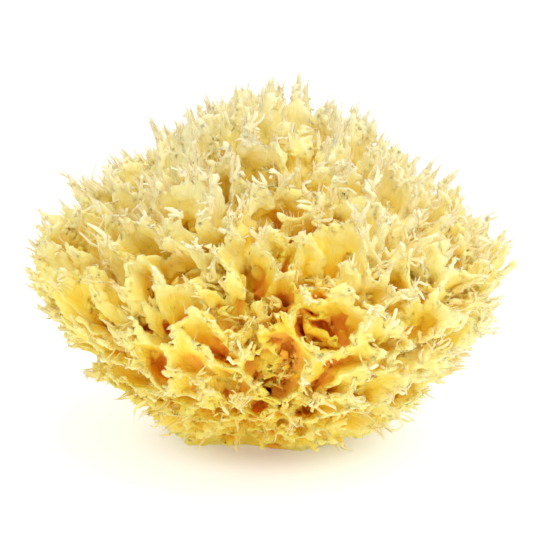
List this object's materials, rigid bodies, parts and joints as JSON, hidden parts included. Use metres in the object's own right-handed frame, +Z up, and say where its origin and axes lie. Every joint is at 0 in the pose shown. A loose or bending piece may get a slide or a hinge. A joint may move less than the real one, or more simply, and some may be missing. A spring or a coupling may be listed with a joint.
{
  "type": "sea sponge",
  "caption": "Bleached honeycomb bath sponge: a domed mass narrowing to a flat cut root, open all over with rounded pits whose thin walls rise to frayed points. Stands on its cut.",
  "frame": {"origin": "on the plane of the root's cut, under the middle of the sponge's width and depth", "axes": "+Z up through the crown, X across the width as the picture shows it, -Y towards the viewer, where the front cleft is"},
  "size_m": [0.1332, 0.1301, 0.0996],
  "materials": {
    "spongin": "bleached spongin fibre, matt and slightly see-through: cream at the frayed points, golden on the walls, ochre deep in the pits"
  },
  "bodies": {
    "root": {"sponge": "spongin"}
  },
  "joints": []
}
